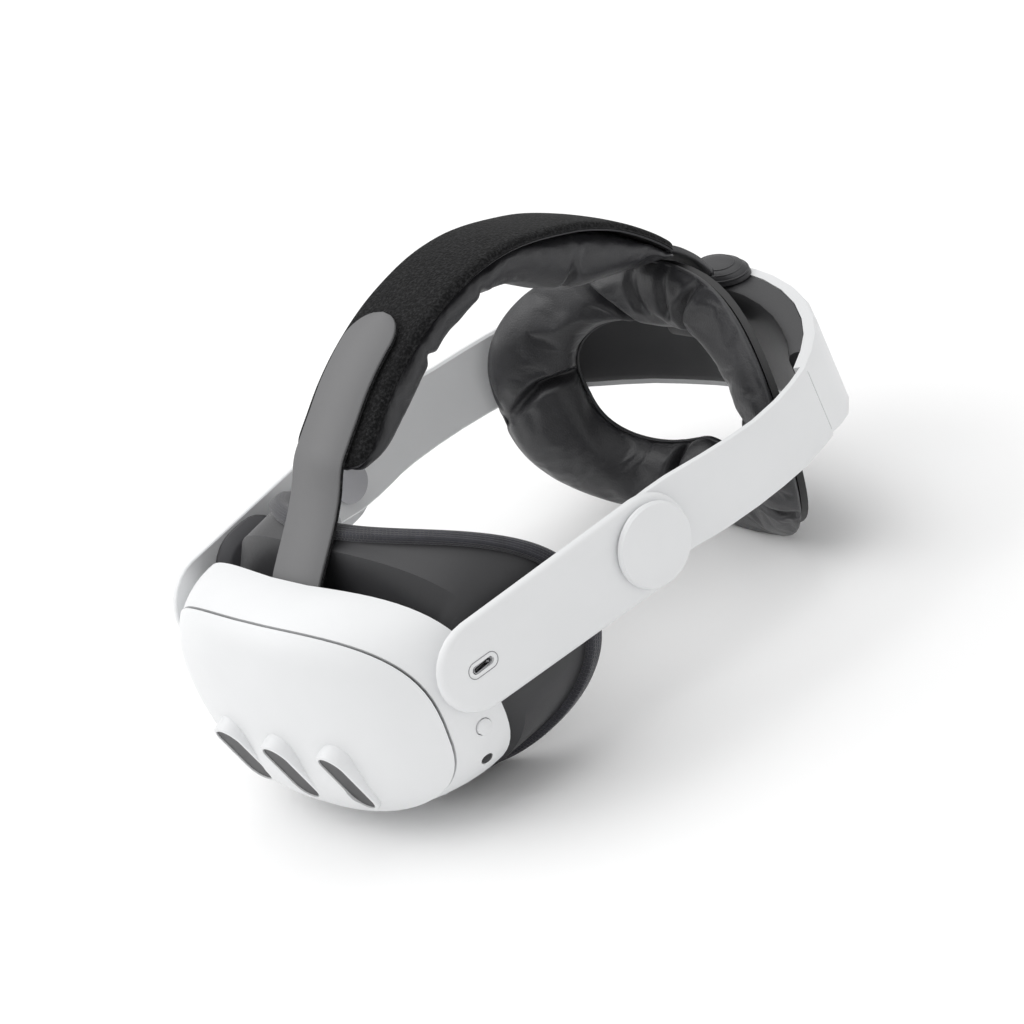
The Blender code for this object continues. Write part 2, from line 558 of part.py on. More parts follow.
def build_housing():
    points, normals, rows = housing_path()

    def section(point, normal, row, outline):
        top, bottom, depth = row[2:]
        return [Vector((point.x + normal.x * d, point.y + normal.y * d, z)) for d, z in outline(top, bottom, depth)]

    def shell(top, bottom, depth):
        wall = HOUSING_WALL
        return ((0.0, bottom + 3.2), (0.0, top - 2.6), (-0.8, top - 0.8), (-2.6, top), (-HOUSING_RIM, top),
                (-HOUSING_RIM, top - wall), (-wall, top - wall), (-wall, bottom + wall), (-depth, bottom + wall),
                (-depth, bottom), (-3.2, bottom), (-1.0, bottom + 1.0))

    def liner(top, bottom, depth):
        low, rim = bottom + HOUSING_WALL + GAP, -HOUSING_RIM - GAP
        return ((-depth + 1.8, low), (-depth + 1.8, top - 2.6), (rim, top - 2.6), (rim, top - GAP),
                (-depth + 1.4, top - GAP), (-depth - 0.8, top - 1.2), (-depth - 1.6, top - 3.2),
                (-depth - 1.6, low + 3.0), (-depth - 0.4, low))

    white = add_piece("rear_housing", loft([section(*item, shell) for item in zip(points, normals, rows)]), WHITE)
    carve(white, [turned_solid((0, 0, DIAL_Z), (0, 1, 0), ((262.0, 4.4), (290.0, 4.4)), 32)])
    inner = list(zip(points, normals, rows))[1:-1]
    add_piece("housing_liner", loft([section(*item, liner) for item in inner]), DARK)
    dial = turned_solid((0, 0, DIAL_Z), (0, 1, 0),
                        ((DIAL_Y[0], 15.5), (DIAL_Y[0] + 1.0, DIAL_RADIUS), (DIAL_Y[1] - 2.0, DIAL_RADIUS),
                         (DIAL_Y[1] - 0.6, 15.8), (DIAL_Y[1], 13.0)), 60)
    add_piece("fit_dial", dial, DARK, (0, DIAL_Y[0], DIAL_Z))
    pinion = turned_solid((0, 0, DIAL_Z), (0, 1, 0), ((264.4, PINION_RADIUS), (270.6, PINION_RADIUS), (270.6, 4.0),
                          (DIAL_Y[0] - GAP, 4.0)), 24)
    add_piece("dial_pinion", pinion, METAL, (0, DIAL_Y[0], DIAL_Z))
    for side, word in ((1, "left"), (-1, "right")):
        half = 4.2
        middle = DIAL_Z + side * (PINION_RADIUS + half + GAP + 0.4)
        rings = []
        reach = [(p, n) for p, n in zip(points, normals) if p.x * side > -13][:: side]
        for k, (p, n) in enumerate(reach):
            level = BAND[-1][2] + (middle - BAND[-1][2]) * min(1.0, k / 4)
            near, far = (3.4, 5.2) if k < 1 else (5.0, 6.8)
            rings.append([Vector((p.x + n.x * -d, p.y + n.y * -d, level + h))
                          for d, h in ((near, -half), (near, half), (far, half), (far, -half))])
        add_piece(f"band_rack_{word}", loft(rings), BLACK)
    bracket = box_solid((-16.0, 243.0, -6.0), (16.0, 255.7, 5.0), 2.0)
    add_piece("cushion_bracket", bracket, BLACK)

    def strap_end(_):
        half = ANCHOR_HALF
        return ((-half, -3.4), (half, -3.4), (half, -1.0), (half - 1.0, 0.0), (-half + 1.0, 0.0), (-half, -1.0))

    add_piece("top_anchor", loft(strip(ANCHOR_PATH, strap_end)), DARK)
    wide, deep, tall, middle = ANCHOR_CAP
    top = HOUSING[-1][2] + GAP
    dome = [[Vector((wide * share * math.cos(angle), middle + deep * share * math.sin(angle), top + rise * tall))
             for angle in (2 * math.pi * (i + 0.5) / 40 for i in range(40))]
            for share, rise in ((1.0, 0.0), (0.98, 0.2), (0.9, 0.45), (0.76, 0.68), (0.55, 0.86), (0.25, 0.98))]
    add_piece("anchor_cap", loft(dome), DARK)


def ring_surface(x, z):
    """Where the plate's bent surface is, and its unit normal towards the head."""
    middle, slope, fall, bend = RING_BEND
    point = Vector((x, middle + slope * z - fall * z * z - bend * x * x, z))
    return point, Vector((-2 * bend * x, -1.0, slope - 2 * fall * z)).normalized()


def ring_outline(count):
    half, up, down = RING_HALF
    points = []
    for i in range(count):
        angle = 2 * math.pi * (i + 0.5) / count
        upper = math.sin(angle) > 0
        x, z = squircle(angle, half, up if upper else down, RING_N[0 if upper else 1])
        points.append((x * (1 + RING_TAPER * z / 50), z, abs(math.sin(angle)), upper))
    return points


def build_ring():
    def curve(inset, forward):
        """One closed curve of the ring: inset is a share of the local pad width."""
        points = []
        for x, z, rise, upper in ring_outline(64):
            width = RING_WIDTH[0 if upper else 1] * rise + RING_WIDTH[2] * (1 - rise)
            share = 1 - width * inset / math.hypot(x, z)
            point, normal = ring_surface(x * share, z * share + RING_Z)
            points.append(point + normal * forward)
        return points

    plate = ((0.06, 0.0), (0.06, -RING_PLATE), (0.9, -RING_PLATE), (0.9, 0.0))
    add_piece("ring_plate", loft([curve(i, f) for i, f in plate], wrap=True), BLACK)
    puff = ((0.03, 0.02), (-0.01, 0.32), (0.08, 0.66), (0.28, 0.91), (0.54, 1.0), (0.8, 0.88), (0.98, 0.55),
            (1.0, 0.25), (0.93, 0.02))
    add_piece("ring_cushion", loft([curve(i, f * RING_DEPTH) for i, f in puff], wrap=True), LEATHER)


def path_frames(path):
    """Points of a side-view path with unit normals pointing up and out."""
    return [(Vector(p), -n) for p, n in zip(path, curve_normals(path))]


def strip(path, outline):
    """Sweep a closed outline of (x, height above the path) along a side-view path."""
    frames = path_frames(path)
    last = len(frames) - 1
    return [[Vector((x, p.x + n.x * h, p.y + n.y * h)) for x, h in outline(i / last)]
            for i, (p, n) in enumerate(frames)]


def build_top_pad():
    last = len(PAD_PATH) - 1

    def fabric(t):
        half = PAD_HALF - (3.0 if t in (0.0, 1.0) else 0.0)
        return ((-half, -PAD_COVER), (half, -PAD_COVER), (half, -1.0), (half - 1.2, 0.0), (-half + 1.2, 0.0),
                (-half, -1.0))

    add_piece("top_pad_cover", loft(strip(PAD_PATH, fabric)), FABRIC)

    def leather(t):
        half, low = PAD_HALF - 0.4, -PAD_COVER - 0.4
        deep = -PAD_DEEP[round(t * last)]
        return ((-half, low), (half, low), (half + 0.6, (low + deep) / 2), (half * 0.72, deep + 0.07 * (low - deep)),
                (0.0, deep), (-half * 0.72, deep + 0.07 * (low - deep)), (-half - 0.6, (low + deep) / 2))

    add_piece("top_pad_cushion", loft(strip(PAD_PATH, leather)), LEATHER)

    def strap(_):
        return ((-STRAP_HALF, 0.0), (STRAP_HALF, 0.0), (STRAP_HALF, STRAP_THICK), (-STRAP_HALF, STRAP_THICK))

    add_piece("front_strap", loft(strip(STRAP_PATH, strap)), STRAP)


clear_scene()
PARTS = new_collection("vr_headset")
CUTTERS = new_collection("cutters")

WHITE = material("white_plastic", (0.86, 0.87, 0.88), 0.38)
GREY = material("grey_plastic", (0.2, 0.2, 0.21), 0.5)
DARK = material("dark_plastic", (0.06, 0.06, 0.065), 0.5)
BLACK = material("black_plastic", (0.015, 0.015, 0.016), 0.45)
SMOKED = material("smoked_window", (0.06, 0.06, 0.065), 0.15)
GLASS = material("lens_glass", (0.8, 0.85, 0.9), 0.05, alpha=0.4)
METAL = material("bare_metal", (0.6, 0.6, 0.62), 0.35, metallic=1.0)
BOARD = material("circuit_board", (0.03, 0.16, 0.07), 0.5)
BATTERY = material("battery_wrap", (0.1, 0.1, 0.12), 0.6)
KNIT = material("knit_fabric", (0.05, 0.05, 0.06), 0.95)
FABRIC = material("loop_fabric", (0.02, 0.02, 0.021), 0.95)
LEATHER = material("black_leatherette", (0.025, 0.025, 0.027), 0.42)
STRAP = material("grey_leatherette", (0.22, 0.22, 0.23), 0.7)

build_front_cover()
build_gasket()
build_main_shell()
build_rear_frame()
build_facial_interface()
build_optics()
build_internals()
for arm_side, arm_word in ((1, "left"), (-1, "right")):
    build_arm(arm_side, arm_word)
    build_band(arm_side, arm_word)
build_port()
build_controls()
build_housing()
build_ring()
build_top_pad()
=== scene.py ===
import json
import math

import bpy
from mathutils import Matrix, Vector, noise

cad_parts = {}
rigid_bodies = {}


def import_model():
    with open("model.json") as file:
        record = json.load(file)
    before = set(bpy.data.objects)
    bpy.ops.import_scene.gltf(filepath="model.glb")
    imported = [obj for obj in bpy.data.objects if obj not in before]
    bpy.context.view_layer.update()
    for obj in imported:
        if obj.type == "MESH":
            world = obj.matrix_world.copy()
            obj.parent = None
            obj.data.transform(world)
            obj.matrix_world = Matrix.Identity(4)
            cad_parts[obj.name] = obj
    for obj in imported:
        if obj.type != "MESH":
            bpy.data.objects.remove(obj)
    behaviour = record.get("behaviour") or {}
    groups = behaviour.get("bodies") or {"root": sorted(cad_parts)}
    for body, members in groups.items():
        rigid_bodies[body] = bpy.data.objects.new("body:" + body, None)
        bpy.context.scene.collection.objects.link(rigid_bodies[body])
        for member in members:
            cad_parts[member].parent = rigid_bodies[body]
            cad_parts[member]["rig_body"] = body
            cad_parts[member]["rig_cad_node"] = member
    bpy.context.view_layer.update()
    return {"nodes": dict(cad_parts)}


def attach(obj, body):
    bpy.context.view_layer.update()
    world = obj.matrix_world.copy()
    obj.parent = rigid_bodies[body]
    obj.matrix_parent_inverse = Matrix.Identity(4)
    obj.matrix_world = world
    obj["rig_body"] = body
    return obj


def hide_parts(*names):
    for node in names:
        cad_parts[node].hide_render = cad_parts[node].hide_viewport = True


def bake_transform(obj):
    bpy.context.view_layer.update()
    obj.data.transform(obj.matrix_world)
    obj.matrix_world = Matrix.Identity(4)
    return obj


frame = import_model()

# New pieces are given in millimetres of the wearer's frame: X to the left, Y backwards, Z up.
# The headset stands on its cheek rim and back cushion, pitched and then moved by these amounts.
PITCH = math.radians(4.782)
TILT = Matrix.Rotation(PITCH, 3, "X")
SHIFT_Y, SHIFT_Z = -140.086, 55.25


def worn(x, y, z):
    """A point of the wearer's frame, in millimetres, where the standing headset has it, in metres."""
    turned = TILT @ Vector((x, y, z))
    return Vector((turned.x, turned.y + SHIFT_Y, turned.z + SHIFT_Z)) / 1000


# Camera: above the headset's left front corner.
camera = bpy.data.objects.new("camera", bpy.data.cameras.new("camera"))
bpy.context.scene.collection.objects.link(camera)
bpy.context.scene.camera = camera
camera.data.lens = 152.35
camera.data.sensor_width = 36
right = Vector((0.665, 0.647, -0.372))
back = Vector((0.734, -0.478, 0.482)).normalized()
right = (right - back * right.dot(back)).normalized()
up = back.cross(right)
camera.location = worn(1178.3, -634.5, 767.3)
camera.rotation_mode = "QUATERNION"
camera.rotation_quaternion = (TILT @ Matrix((right, up, back)).transposed()).to_quaternion()
camera.data.clip_start, camera.data.clip_end = 0.05, 20


# Studio: a pale floor, a white room, a broad soft light overhead and a smaller one at the right front.
def linear(code):
    """An sRGB hex colour as linear red, green and blue."""
    parts = [int(code[i:i + 2], 16) / 255 for i in (1, 3, 5)]
    return tuple(c / 12.92 if c <= 0.04045 else ((c + 0.055) / 1.055) ** 2.4 for c in parts) + (1.0,)


def add(tree, kind, inputs=None, **settings):
    """Add one node with its settings. An input is a value, or another node with the name of its output."""
    node = tree.nodes.new(kind)
    for key, value in settings.items():
        setattr(node, key, value)
    for key, value in (inputs or {}).items():
        if isinstance(value, tuple) and isinstance(value[0], bpy.types.Node):
            tree.links.new(value[0].outputs[value[1]], node.inputs[key])
        else:
            node.inputs[key].default_value = value
    return node


def finish_of(name, roughness, **shader_inputs):
    """A new material, its node tree and its shader."""
    made = bpy.data.materials.new(name)
    made.use_nodes = True
    shader = made.node_tree.nodes["Principled BSDF"]
    shader.inputs["Roughness"].default_value = roughness
    for key, value in shader_inputs.items():
        shader.inputs[key.replace("_", " ")].default_value = value
    return made, made.node_tree, shader


def mixed(tree, factor, first, second):
    """Two colours mixed by another node's output."""
    return add(tree, "ShaderNodeMix", {"Factor": factor, "A": linear(first), "B": linear(second)},
               data_type="RGBA")


def wire(tree, shader, tint, dull=None, bump=None):
    """Lead a finish's colour, roughness and bump into its shader."""
    tree.links.new(tint.outputs["Result"], shader.inputs["Base Color"])
    if dull:
        tree.links.new(dull.outputs["Result"], shader.inputs["Roughness"])
    if bump:
        tree.links.new(bump.outputs["Normal"], shader.inputs["Normal"])


def select_only(*pieces):
    if bpy.context.object and bpy.context.object.mode != "OBJECT":
        bpy.ops.object.mode_set(mode="OBJECT")
    bpy.ops.object.select_all(action="DESELECT")
    for piece in pieces:
        piece.select_set(True)
    bpy.context.view_layer.objects.active = pieces[0]


bpy.ops.object.select_all(action="DESELECT")
bpy.ops.mesh.primitive_plane_add(size=6.0, location=(0, 0, 0))
floor = bpy.context.object
floor.name = "floor"
floor.data.transform(Matrix.Translation((0, 0, -0.0002)))
paper, tree, shader = finish_of("matt_paper", 0.9)
coords = add(tree, "ShaderNodeTexCoord")
tone = add(tree, "ShaderNodeTexNoise", {"Vector": (coords, "Object"), "Scale": 1.5, "Detail": 1.0})
wire(tree, shader, mixed(tree, (tone, "Fac"), "#fbfbfb", "#ffffff"))
floor.data.materials.append(paper)

world = bpy.data.worlds.new("studio")
bpy.context.scene.world = world
world.use_nodes = True
world.node_tree.nodes["Background"].inputs["Color"].default_value = (1.0, 1.0, 1.0, 1.0)
world.node_tree.nodes["Background"].inputs["Strength"].default_value = 0.7


def soft_light(name, place, aim, size, power):
    lamp = bpy.data.objects.new(name, bpy.data.lights.new(name, "AREA"))
    bpy.context.scene.collection.objects.link(lamp)
    lamp.data.shape, lamp.data.size, lamp.data.energy = "DISK", size, power
    lamp.location = place
    lamp.rotation_mode = "QUATERNION"
    lamp.rotation_quaternion = (Vector(place) - Vector(aim)).to_track_quat("Z", "Y")
    return lamp


soft_light("overhead", (-0.35, -0.15, 1.3), (0, 0, 0), 2.6, 13)
soft_light("key", (-1.0, -0.7, 1.1), (0, 0, 0.05), 1.2, 4)
bpy.context.scene.view_settings.view_transform = "Standard"


# White mouldings: visor cover and shell, arms, hinge caps, bands, rear housing and keys.
# Satin ABS, injection moulded in spark-eroded tools: an even white with a soft sheen and a fine dull grain.
def satin(name, pale, deep, roughness, grain_mm=0.35, depth_mm=0.006):
    """A moulded or coated plastic: two close shades, and a fine grain that dulls its sheen."""
    made, tree, shader = finish_of(name, roughness, IOR=1.53)
    coords = add(tree, "ShaderNodeTexCoord")
    cloud = add(tree, "ShaderNodeTexNoise", {"Vector": (coords, "Object"), "Scale": 45.0, "Detail": 2.0})
    tint = mixed(tree, (cloud, "Fac"), pale, deep)
    grain = add(tree, "ShaderNodeTexNoise",
                {"Vector": (coords, "Object"), "Scale": 1000 / grain_mm, "Detail": 2.0, "Roughness": 0.6})
    dull = add(tree, "ShaderNodeMapRange", {"Value": (grain, "Fac"), "From Min": 0.3, "From Max": 0.7,
                                            "To Min": roughness - 0.05, "To Max": roughness + 0.06})
    bump = add(tree, "ShaderNodeBump", {"Height": (grain, "Fac"), "Strength": 0.5,
                                        "Distance": depth_mm / 1000})
    wire(tree, shader, tint, dull, bump)
    return made


def moulded(node, name, material, angle=32.0, rides=True):
    """A smooth copy of one CAD node: triangles joined, and curves smoothed between hard edges."""
    source = frame["nodes"][node]
    piece = source.copy()
    piece.data = source.data.copy()
    piece.parent = None
    piece.name = name
    body = piece["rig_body"]
    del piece["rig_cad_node"]
    bpy.context.scene.collection.objects.link(piece)
    select_only(piece)
    bpy.ops.mesh.customdata_custom_splitnormals_clear()
    bpy.ops.object.mode_set(mode="EDIT")
    bpy.ops.mesh.select_all(action="SELECT")
    bpy.ops.mesh.remove_doubles(threshold=1e-6)
    bpy.ops.mesh.dissolve_limited(angle_limit=math.radians(0.3))
    bpy.ops.object.mode_set(mode="OBJECT")
    bpy.ops.object.shade_smooth_by_angle(angle=math.radians(angle))
    piece.data.materials.clear()
    piece.data.materials.append(material)
    if rides:
        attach(piece, body)
    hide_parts(node)
    return piece


white = satin("satin_white_abs", "#e9eaeb", "#e4e5e6", 0.42)
for node in ("front_cover", "main_shell", "arm_shell_left", "arm_shell_right", "pivot_cap_left",
             "pivot_cap_right", "rear_band_left", "rear_band_right", "rear_housing", "power_button",
             "volume_rocker"):
    moulded(node, node + "_moulding", white)


# Sensor windows in the cover's three raised slots, and the two side cameras behind their holes.
# Smoked polycarbonate, moulded glossy and hard-coated: a flat dark grey with a clear reflection.
def smoked_polycarbonate():
    made, tree, shader = finish_of("smoked_polycarbonate", 0.42, IOR=1.58, Specular_IOR_Level=0.2)
    coords = add(tree, "ShaderNodeTexCoord")
    haze = add(tree, "ShaderNodeTexNoise", {"Vector": (coords, "Object"), "Scale": 90.0, "Detail": 2.0})
    wiped = add(tree, "ShaderNodeMapRange", {"Value": (haze, "Fac"), "To Min": 0.36, "To Max": 0.46})
    wire(tree, shader, mixed(tree, (haze, "Fac"), "#303032", "#3a3a3c"), wiped)
    return made


smoked = smoked_polycarbonate()
for node in ("sensor_window_left", "sensor_window_middle", "sensor_window_right"):
    moulded(node, node + "_pane", smoked)
camera_glass = satin("camera_glass", "#1c1c20", "#17171a", 0.12, 0.6, 0.0005)
for node in ("side_camera_left", "side_camera_right"):
    moulded(node, node + "_pane", camera_glass)


# Charging port in the left arm: a drawn steel shell with a contact tongue, inside a thin oval parting line.
# Nickel-plated steel and black LCP: a dull bright rim round a dark slot.
def bare_metal(name, pale, deep, roughness, line_mm):
    """Drawn or turned metal: fine lines along one direction that break up its shine."""
    made, tree, shader = finish_of(name, roughness, Metallic=1.0)
    coords = add(tree, "ShaderNodeTexCoord")
    stretch = add(tree, "ShaderNodeMapping", {"Vector": (coords, "Object"), "Scale": (1.0, 1.0, 12.0)})
    lines = add(tree, "ShaderNodeTexNoise", {"Vector": (stretch, "Vector"), "Scale": 1000 / line_mm / 4,
                                             "Detail": 3.0})
    tint = mixed(tree, (lines, "Fac"), pale, deep)
    dull = add(tree, "ShaderNodeMapRange", {"Value": (lines, "Fac"), "To Min": roughness - 0.07,
                                            "To Max": roughness + 0.08})
    bump = add(tree, "ShaderNodeBump", {"Height": (lines, "Fac"), "Strength": 0.3, "Distance": 0.00002})
    wire(tree, shader, tint, dull, bump)
    return made


def finished(name, body, material):
    """Put the finish on the active new piece, and let it move with its body."""
    piece = bpy.context.object
    piece.name = name
    piece.data.materials.clear()
    piece.data.materials.append(material)
    bpy.ops.object.transform_apply(location=True, rotation=True, scale=True)
    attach(piece, body)
    return piece


nickel = bare_metal("nickel_plated_steel", "#b9b9bc", "#a4a4a8", 0.34, 0.2)
moulded("usb_c_port", "usb_c_port_shell", nickel)
black = satin("black_abs", "#161617", "#121213", 0.45)
# The port's middle, how far the arm leans in and down there, and the oval line's end radius, half
# straight length and thickness in metres.
PORT, LEAN_IN, LEAN_DOWN = (78.6, 44.1, 6.4), 0.118, 0.06
OVAL_END, OVAL_STRAIGHT, OVAL_LINE = 0.0031, 0.0034, 0.00016
bpy.ops.object.select_all(action="DESELECT")
bpy.ops.mesh.primitive_cube_add(size=1.0, location=worn(PORT[0] - 2.2, PORT[1], PORT[2]),
                                rotation=(PITCH - LEAN_DOWN, 0, LEAN_IN))
bpy.context.object.scale = (0.0022, 0.0064, 0.0007)
bpy.ops.object.transform_apply(location=False, rotation=False, scale=True)
bpy.ops.object.mode_set(mode="EDIT")
bpy.ops.mesh.select_all(action="SELECT")
bpy.ops.mesh.bevel(offset=0.0002, segments=3, affect="EDGES")
bpy.ops.object.mode_set(mode="OBJECT")
finished("port_tongue", "arm_left", black)

parting = satin("parting_line_shadow", "#8d8d90", "#858588", 0.7)
bpy.ops.object.select_all(action="DESELECT")
bpy.ops.mesh.primitive_torus_add(major_radius=OVAL_END, minor_radius=OVAL_LINE, major_segments=64,
                                 minor_segments=8)
bpy.ops.object.mode_set(mode="EDIT")
for side in (1, -1):
    bpy.ops.mesh.select_all(action="DESELECT")
    bpy.ops.object.mode_set(mode="OBJECT")
    for vert in bpy.context.object.data.vertices:
        vert.select = vert.co.x * side > 1e-6
    bpy.ops.object.mode_set(mode="EDIT")
    bpy.ops.transform.translate(value=(side * OVAL_STRAIGHT, 0, 0))
bpy.ops.mesh.select_all(action="SELECT")
bpy.ops.mesh.normals_make_consistent(inside=False)
bpy.ops.object.mode_set(mode="OBJECT")
bpy.context.object.rotation_mode = "QUATERNION"
outward = TILT @ Vector((1, -LEAN_IN, 0)).normalized()
lengthwise = TILT @ Vector((LEAN_IN, 1, -LEAN_DOWN)).normalized()
upright = outward.cross(lengthwise).normalized()
axes = Matrix((lengthwise, upright, lengthwise.cross(upright))).transposed()
bpy.context.object.rotation_quaternion = axes.to_quaternion()
bpy.context.object.location = worn(*PORT) + outward * 0.00002
bpy.ops.object.shade_smooth()
finished("port_parting_line", "arm_left", parting)

# Dark mouldings: frame behind the shell, light blocker, rear liner, fit dial, spacing wheel, fan and dome.
# PC-ABS moulded in colour with a fine spark texture: charcoal grey with a broad dull sheen.
dark = satin("charcoal_pc_abs", "#38383a", "#323234", 0.46)
for node in ("rear_frame", "facial_interface", "housing_liner", "fit_dial", "ipd_wheel",
             "cooling_fan", "anchor_cap"):
    moulded(node, node + "_moulding", dark)
grey = satin("mid_grey_abs", "#4f4f52", "#49494c", 0.5)
for node in ("arm_liner_left", "arm_liner_right", "arm_clip_left", "arm_clip_right"):
    moulded(node, node + "_moulding", grey)
for node in ("cover_gasket", "lens_surround", "lens_barrel_left", "lens_barrel_right", "display_left",
             "display_right", "speaker_left", "speaker_right", "cushion_bracket", "ring_plate", "audio_jack"):
    moulded(node, node + "_moulding", black)

# Toothed racks that the fit dial draws in: thin nylon tongues that bend from the bands into the housing.
# Moulded nylon, self-coloured black, with the same fine spark texture.
for node in ("band_rack_left", "band_rack_right"):
    rack = moulded(node, node + "_moulding", black, rides=False)
    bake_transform(rack)


# Eye lenses: pancake stacks of optical resin, polished and coated.
# Clear acrylic over a dark display: near-black seen from outside, with a thin violet reflection.
def optical_acrylic():
    made, tree, shader = finish_of("optical_acrylic", 0.04, IOR=1.49, Transmission_Weight=0.85,
                                   Coat_Weight=0.4, Coat_Roughness=0.02)
    coords = add(tree, "ShaderNodeTexCoord")
    coat = add(tree, "ShaderNodeTexNoise", {"Vector": (coords, "Object"), "Scale": 40.0, "Detail": 1.0})
    wiped = add(tree, "ShaderNodeMapRange", {"Value": (coat, "Fac"), "To Min": 0.02, "To Max": 0.06})
    wire(tree, shader, mixed(tree, (coat, "Fac"), "#dfe0ea", "#d3d6e4"), wiped)
    return made


acrylic = optical_acrylic()
for node in ("lens_left", "lens_right"):
    moulded(node, node + "_polished", acrylic)

# Inside the visor, arms and housing: chassis, heat sink, hinge pins, dial's pinion, mainboard and battery.
# Aluminium, steel, epoxy glass board and film-wrapped cell, each with its own finish.
aluminium = bare_metal("milled_aluminium", "#b4b5b8", "#a3a4a7", 0.36, 0.4)
for node in ("chassis", "heat_sink"):
    moulded(node, node + "_metal", aluminium)
for node in ("pivot_pin_left", "pivot_pin_right", "dial_pinion"):
    moulded(node, node + "_metal", nickel)
board = satin("solder_mask_board", "#12402a", "#0e3522", 0.42, 1.2, 0.02)
moulded("mainboard", "mainboard_panel", board)
wrap = satin("battery_film", "#2a2a30", "#232328", 0.3, 2.0, 0.01)
moulded("battery_pack", "battery_pack_cell", wrap)


# Face cushion: a knitted rim over foam round the light blocker.
# Polyester rib knit, dark blue-grey: fine courses run round the rim, and its fuzz takes the light softly.
def between(points, count, closed=False):
    """Points spread evenly by place along a smooth curve through the given ones (tuples of numbers)."""
    n = len(points)
    made = []
    spans = n if closed else n - 1
    for k in range(count):
        at = k * spans / (count if closed else count - 1)
        i = min(int(at), spans - 1)
        t = at - i
        if closed:
            a, b, c, d = (points[(i + j) % n] for j in (-1, 0, 1, 2))
        else:
            a, b, c, d = (points[min(max(i + j, 0), n - 1)] for j in (-1, 0, 1, 2))
        made.append(tuple(0.5 * (2 * q + (r - p) * t + (2 * p - 5 * q + 4 * r - s) * t * t
                                 + (3 * q - p - 3 * r + s) * t ** 3) for p, q, r, s in zip(a, b, c, d)))
    return made


def lofted(name, rows, material, closed=False):
    """Skin a row of closed loops (wearer millimetres), with a UV map in metres along and round it."""
    rows = [[worn(*point) for point in row] for row in rows]
    many, count = len(rows), len(rows[0])
    points = [point for row in rows for point in row]
    strips = many if closed else many - 1
    along, around = [0.0], [0.0]
    for i in range(strips):
        along.append(along[-1] + (rows[(i + 1) % many][0] - rows[i][0]).length)
    middle = rows[many // 2]
    for j in range(count):
        around.append(around[-1] + (middle[(j + 1) % count] - middle[j]).length)
    faces, places = [], []
    for i in range(strips):
        for j in range(count):
            faces.append((i * count + j, i * count + (j + 1) % count,
                          (i + 1) % many * count + (j + 1) % count, (i + 1) % many * count + j))
            places += [(along[i], around[j]), (along[i], around[j + 1]), (along[i + 1], around[j + 1]),
                       (along[i + 1], around[j])]
    if not closed:
        for row, start in ((0, 0), (many - 1, (many - 1) * count)):
            faces.append(tuple(start + j for j in range(count)))
            places += [(along[row], around[j]) for j in range(count)]
    mesh = bpy.data.meshes.new(name)
    mesh.from_pydata(points, [], faces)
    layer = mesh.uv_layers.new(name="UVMap")
    for corner, place in zip(layer.data, places):
        corner.uv = place
    mesh.materials.append(material)
    piece = bpy.data.objects.new(name, mesh)
    bpy.context.scene.collection.objects.link(piece)
    select_only(piece)
    bpy.ops.object.mode_set(mode="EDIT")
    bpy.ops.mesh.select_all(action="SELECT")
    bpy.ops.mesh.normals_make_consistent(inside=False)
    bpy.ops.object.mode_set(mode="OBJECT")
    bpy.ops.object.shade_smooth()
    return piece


def knitted(name, pale, deep, stitch_mm, sheen):
    """Knit on the piece's UV: rows of short stitches, each a little mound, with a painted highlight on its
    top and painted shade in the gaps.
    """
    made, tree, shader = finish_of(name, 0.92, Sheen_Weight=sheen, Sheen_Roughness=0.5)
    coords = add(tree, "ShaderNodeTexCoord")
    # Stitch pattern: its soft black mortar is painted shade between the stitches, and its pale middles are a
    # painted highlight on their tops.
    stitch = add(tree, "ShaderNodeTexBrick",
                 {"Vector": (coords, "UV"), "Scale": 1000 / stitch_mm, "Color1": (1, 1, 1, 1),
                  "Color2": (0.8, 0.8, 0.8, 1), "Mortar": (0, 0, 0, 1), "Mortar Size": 0.16,
                  "Mortar Smooth": 1.0, "Brick Width": 1.4, "Row Height": 1.0}, offset=0.5)
    cloud = add(tree, "ShaderNodeTexNoise", {"Vector": (coords, "Object"), "Scale": 160.0, "Detail": 3.0})
    # Painted stitch light and shade, times a random tone from the cloud.
    lit = add(tree, "ShaderNodeMath", {0: (stitch, "Color"), 1: (cloud, "Fac")}, operation="MULTIPLY")
    bump = add(tree, "ShaderNodeBump", {"Height": (stitch, "Color"), "Strength": 0.7, "Distance": 0.0003})
    wire(tree, shader, mixed(tree, (lit, "Value"), deep, pale), bump=bump)
    return made


# The rim's half width and height, how square its oval is, and its section as (grow, back) pairs.
FACE_HALF, FACE_N, FACE_STEPS = (72.4, 53.6), 2.5, 216
FACE_RIM = ((0, -6.7), (0.8, -4), (0.6, -1.2), (-1.2, 0.3), (-4, 0.6), (-7.5, -0.4), (-9.2, -3), (-8.6, -5.6),
            (-6.5, -6.7))


def rounded(angle, wide, tall, square):
    """A point of a squared oval."""
    c, s = math.cos(angle), math.sin(angle)
    return (wide * math.copysign(abs(c) ** (2 / square), c), tall * math.copysign(abs(s) ** (2 / square), s))


def face_point(angle, grow, back):
    """A place on the rim, which curves round the brow and lifts over the nose."""
    u, v = rounded(angle, 1.0, 1.0, FACE_N)
    x = (FACE_HALF[0] + grow) * u
    y = 69.4 + 32.6 * abs(u) ** 2.2 - 11.0 * v * v + 1.5 * v + back
    z = -9.0 + (FACE_HALF[1] + grow) * v + (0.9 * u * u if v > 0 else 0.0)
    if z < -20:
        swell = math.exp(-(x / 17.0) ** 2) * min(1.0, (-20 - z) / 20)
        y, z = y - 4.0 * swell, z + 17.0 * swell
    return x, y, z


